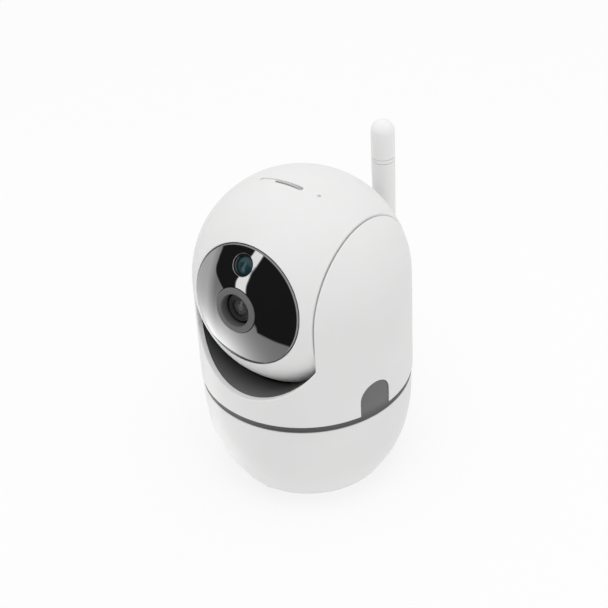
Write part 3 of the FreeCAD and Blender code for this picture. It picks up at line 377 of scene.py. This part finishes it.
def slot_cells():
    """Grid cells inside the rounded outline that leave the card's own way clear."""
    low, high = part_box("memory_card")
    card_x0 = low[0] * 1000 - CARD_END_GAP
    card_x1 = high[0] * 1000 + CARD_END_GAP
    card_middle = (Vector(low) + Vector(high)) / 2 - HEAD_CENTRE
    card_y = card_middle.dot(SLOT_ACROSS) * 1000
    cells = set()
    for i in range(CELLS_X):
        for k in range(CELLS_Y):
            x, y = slot_xy(i + 0.5, k + 0.5)
            nearest = min(max(x, SLOT_X0 + SLOT_HALF), SLOT_X1 - SLOT_HALF)
            in_outline = (x - nearest) ** 2 + y * y <= SLOT_HALF ** 2
            in_card_way = card_x0 < x < card_x1 and abs(y - card_y) < CARD_SIDE_GAP
            if in_outline and not in_card_way:
                cells.add((i, k))
    return cells


def build_slot_floor():
    """Moulded groove whose floor drops towards its +X end."""
    # neighbouring cell, then the two corners of the edge shared with it
    sides = (((-1, 0), (0, 0), (0, 1)), ((1, 0), (1, 1), (1, 0)),
             ((0, -1), (1, 0), (0, 0)), ((0, 1), (0, 1), (1, 1)))
    cells = slot_cells()
    bm = bmesh.new()
    corners = {}

    def corner(i, k, under):
        if (i, k, under) not in corners:
            x, y = slot_xy(i, k)
            drop = SLOT_THICK if under else 0.0
            z = math.sqrt(HEAD_R_MM ** 2 - x * x - y * y) - slot_depth(x) - drop
            place = HEAD_CENTRE + (SIDE * x + SLOT_ACROSS * y + SLOT_OUT * z) / 1000.0
            corners[i, k, under] = bm.verts.new(place)
        return corners[i, k, under]

    def face(*keys):
        bm.faces.new([corner(*key) for key in keys])

    for i, k in sorted(cells):
        face((i, k, 0), (i + 1, k, 0), (i + 1, k + 1, 0), (i, k + 1, 0))
        face((i, k + 1, 1), (i + 1, k + 1, 1), (i + 1, k, 1), (i, k, 1))
        for (di, dk), a, b in sides:
            if (i + di, k + dk) not in cells:
                start = (i + a[0], k + a[1])
                end = (i + b[0], k + b[1])
                face((*start, 0), (*end, 0), (*end, 1), (*start, 1))
    finish_piece("slot_floor", bm, "head", "white_shell")


build_slot_floor()


# ---- camera, floor and lamp ---------------------------------------------
def build_camera():
    place = Vector((0.30537, -0.39224, 0.42590 + FLOOR_Z))
    elevation = math.radians(35.42)
    azimuth = math.radians(37.89)    # from -Y towards +X
    roll = math.radians(-3.239)
    back = Vector((math.sin(azimuth) * math.cos(elevation),
                   -math.cos(azimuth) * math.cos(elevation),
                   math.sin(elevation)))
    level_right = Vector((math.cos(azimuth), math.sin(azimuth), 0))
    level_up = back.cross(level_right)
    right = math.cos(roll) * level_right + math.sin(roll) * level_up
    up = -math.sin(roll) * level_right + math.cos(roll) * level_up
    lens = bpy.data.cameras.new("cam")
    lens.sensor_width = 36
    lens.lens = 93.09
    lens.clip_start = 0.01
    camera = link_new("cam", lens)
    turn = Matrix((right, up, back)).transposed().to_4x4()
    camera.matrix_world = Matrix.Translation(place) @ turn
    scene.camera = camera


def build_floor():
    """Pale, faintly glowing floor that the glossy parts don't mirror."""
    reach = 6
    mesh = bpy.data.meshes.new("floor")
    outline = ((-reach, -reach), (reach, -reach), (reach, reach), (-reach, reach))
    mesh.from_pydata([(x, y, FLOOR_Z) for x, y in outline], [], [(0, 1, 2, 3)])
    floor = link_new("floor", mesh)
    material = bpy.data.materials.new("floor")
    material.use_nodes = True
    tree = material.node_tree
    set_inputs(tree, tree.nodes["Principled BSDF"], {
        "Base Color": (0.24, 0.24, 0.24, 1),
        "Emission Color": (1, 1, 1, 1),
        "Emission Strength": 0.725,
        "Roughness": 0.9,
        "Specular IOR Level": 0.1})
    mesh.materials.append(material)
    floor.visible_glossy = False


def build_key_light():
    place = Vector((0.15, -0.15, 1.5))
    target = Vector((0, 0, 0.08))
    light = bpy.data.lights.new("key", 'AREA')
    light.shape = 'DISK'
    light.size = 1.0
    light.energy = 7.4
    lamp = link_new("key", light)
    lamp.location = place
    lamp.rotation_euler = (target - place).to_track_quat('-Z', 'Y').to_euler()
    lamp.visible_glossy = False


build_camera()
build_floor()
build_key_light()

# ---- surroundings -------------------------------------------------------
# Even white for soft light; softboxes and dark flags for mirror-like surfaces, laid out by
# the spot on the ball-shaped face (across, upright; mm from its middle) that shows them.
VIEW = (-0.5237, 0.6253, -0.5785)    # the way the camera looks, for this layout
FIELD = 26.0                         # the layout curves span -FIELD..FIELD
EDGE = 0.7                           # softness of the upright edges
GAIN = 3.3                           # the black face returns a little under a third
EVEN_LIGHT = 0.79
CAMERA_EXTRA = 0.18                  # lifts the backdrop to the tone of the floor
SHELL_LIGHT = 0.85                   # what reflections outside the face see
WHITE = (1, 1, 1, 1)

world = bpy.data.worlds.new("studio")
scene.world = world
world.use_nodes = True
sky = world.node_tree
sky.nodes.clear()


def vector_math(operation, *values):
    node = add_node(sky, "VectorMath", dict(enumerate(values)), operation=operation)
    return node.outputs["Value" if operation == 'DOT_PRODUCT' else "Vector"]


def calc(operation, *values, clamp=False):
    settings = dict(operation=operation, use_clamp=clamp)
    return add_node(sky, "Math", dict(enumerate(values)), **settings).outputs[0]


def add(a, b, clamp=False):
    return calc('ADD', a, b, clamp=clamp)


def sub(a, b):
    return calc('SUBTRACT', a, b)


def mul(a, b):
    return calc('MULTIPLY', a, b)


def div(a, b, clamp=False):
    return calc('DIVIDE', a, b, clamp=clamp)


def curve(x, points):
    """Smooth curve through (x, y) points, both in -FIELD..FIELD."""
    span = 2 * FIELD
    node = add_node(sky, "FloatCurve")
    line = node.mapping.curves[0]
    places = [((a + FIELD) / span, (b + FIELD) / span) for a, b in points]
    line.points[0].location = places[0]
    line.points[1].location = places[-1]
    for place in places[1:-1]:
        line.points.new(*place)
    node.mapping.update()
    set_inputs(sky, node, {"Value": div(sub(x, -FIELD), span, clamp=True)})
    return add(mul(node.outputs[0], span), -FIELD)


def above(a, b, soft):
    """1 where a > b, with a soft edge."""
    return add(div(sub(a, b), soft), 0.5, clamp=True)


def reflection_level():
    direction = add_node(sky, "TexCoord").outputs["Generated"]
    normal = vector_math('NORMALIZE', vector_math('SUBTRACT', direction, VIEW))
    across = mul(vector_math('DOT_PRODUCT', normal, SIDE), HEAD_R_MM)
    upright = mul(vector_math('DOT_PRODUCT', normal, UPWARD), HEAD_R_MM)

    # (upright, across) edges: left of the dark band, then both sides of the bright strip
    band_left = curve(upright, [
        (-FIELD, -6.5), (5.0, -4.5), (6.5, -6.2), (9.0, -9.5),
        (12.0, -12.3), (16.2, -12.4), (19.8, -12.0), (FIELD, -11.0)])
    strip_left = curve(upright, [
        (-FIELD, -1.5), (5.0, -1.2), (8.7, -1.0), (12.0, -1.1),
        (14.8, 1.2), (20.1, 1.8), (22.3, 2.5), (FIELD, 3.5)])
    strip_right = curve(upright, [
        (-FIELD, 8.5), (4.5, 7.2), (7.2, 5.3), (9.4, 3.8),
        (14.6, 4.3), (18.4, 5.5), (21.6, 6.5), (FIELD, 7.5)])
    # (across, upright) lower edge of the dark right-hand side
    foot = curve(across, [
        (-FIELD, -6.0), (3.0, -6.0), (8.0, -6.3), (12.5, -7.7),
        (17.0, -9.4), (20.4, -10.4), (FIELD, -13.0)])
    # the band and the strip end at the lens bezel
    over_lens = above(upright, 5.0, soft=1.0)
    band = mul(mul(above(across, band_left, EDGE), above(strip_left, across, EDGE)), over_lens)
    right_side = mul(above(across, strip_right, EDGE), above(upright, foot, soft=1.0))
    lit = sub(1.0, calc('MAXIMUM', band, right_side))

    # grazing reflections off the white shells keep the even surroundings
    facing = div(sub(mul(vector_math('DOT_PRODUCT', normal, VIEW), -1.0), 0.15), 0.1, clamp=True)
    radius_squared = add(mul(across, across), mul(upright, upright))
    on_face = mul(above(590.0, radius_squared, soft=40.0), facing)
    strip = mul(mul(above(across, strip_left, EDGE), above(strip_right, across, EDGE)), over_lens)

    # a broad glow centred low on the left (-10, -20), and a paler side light further left
    glow_radius = 14.0
    glow_x = add(across, 10.0)
    glow_y = add(upright, 20.0)
    glow_squared = add(mul(glow_x, glow_x), mul(glow_y, glow_y))
    glow = calc('POWER', 2.7183, div(glow_squared, -glow_radius ** 2))
    side_light = div(sub(-11.0, across), 5.0, clamp=True)
    soft_light = add(add(mul(glow, 0.62), 0.15), mul(side_light, 0.20))

    level = add(mul(strip, 0.76), mul(sub(1.0, strip), soft_light))
    level = mul(mul(level, lit), GAIN)
    level = add(mul(level, on_face), mul(sub(1.0, on_face), SHELL_LIGHT))
    return add(level, 0.02)


level = reflection_level()
rays = add_node(sky, "LightPath").outputs
even = calc('MULTIPLY_ADD', rays["Is Camera Ray"], CAMERA_EXTRA, EVEN_LIGHT)
even_light = add_node(sky, "Background", {"Color": WHITE, "Strength": even})
mirrored = add_node(sky, "Background", {"Color": WHITE, "Strength": level})
mix = add_node(sky, "MixShader", {
    0: rays["Is Glossy Ray"], 1: even_light.outputs[0], 2: mirrored.outputs[0]})
add_node(sky, "OutputWorld", {"Surface": mix.outputs[0]})
